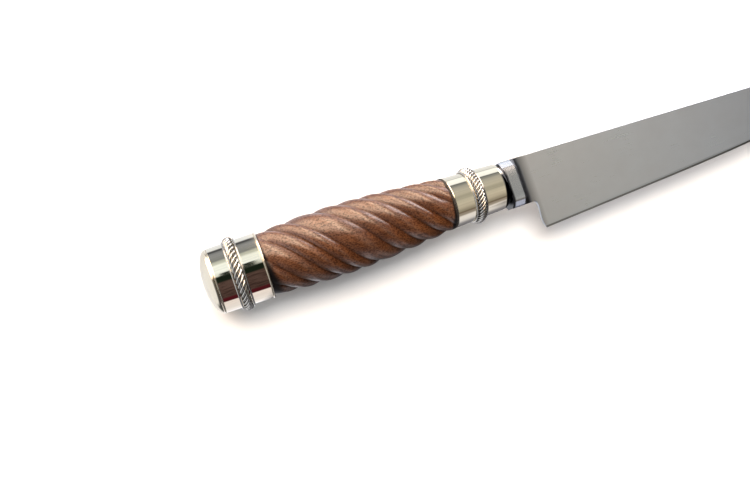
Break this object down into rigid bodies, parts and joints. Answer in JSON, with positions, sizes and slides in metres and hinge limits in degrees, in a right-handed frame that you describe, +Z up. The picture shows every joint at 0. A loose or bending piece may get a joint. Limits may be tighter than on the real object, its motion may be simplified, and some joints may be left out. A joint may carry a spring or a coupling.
{
  "type": "fixed-blade knife",
  "caption": "Long plain-edged knife with a twisted wooden grip, domed nickel-silver ferrules ringed with twisted wire, and a faceted steel bolster.",
  "frame": {"origin": "centre of the knife's bounding box in X and Y, on the surface that it lies on", "axes": "+X along the grip's axis to the blade's tip, +Y from the cutting edge to the spine, +Z up, square to the blade's plane"},
  "size_m": [0.339, 0.0384, 0.0302],
  "materials": {
    "blade_steel": "satin, brushed lengthwise",
    "nickel_silver": "mirror polished, slightly warm white metal",
    "twisted_wire": "polished nickel-silver wire, darkened between the strands",
    "hardwood": "carved red-brown hardwood under satin varnish",
    "spacer_fibre": "dark vulcanised fibre",
    "hardware_steel": "plain turned steel",
    "bush_brass": "turned brass",
    "bedding_resin": "set resin"
  },
  "bodies": {
    "root": {"blade": "blade_steel", "wood_grip": "hardwood", "front_ferrule_sleeve": "nickel_silver", "front_ferrule_end_plate": "nickel_silver", "grip_spacer_ring": "spacer_fibre", "rear_ferrule_sleeve": "nickel_silver", "pommel_cap": "nickel_silver", "tang_nut": "hardware_steel", "tang_washer": "hardware_steel", "tang_bush": "bush_brass", "resin_bedding": "bedding_resin", "front_rope_strand_1": "twisted_wire", "front_rope_strand_2": "twisted_wire", "front_rope_strand_3": "twisted_wire", "front_rope_strand_4": "twisted_wire", "front_wire_rear": "nickel_silver", "front_wire_front": "nickel_silver", "rear_rope_strand_1": "twisted_wire", "rear_rope_strand_2": "twisted_wire", "rear_rope_strand_3": "twisted_wire", "rear_rope_strand_4": "twisted_wire", "rear_wire_rear": "nickel_silver", "rear_wire_front": "nickel_silver"}
  },
  "joints": []
}
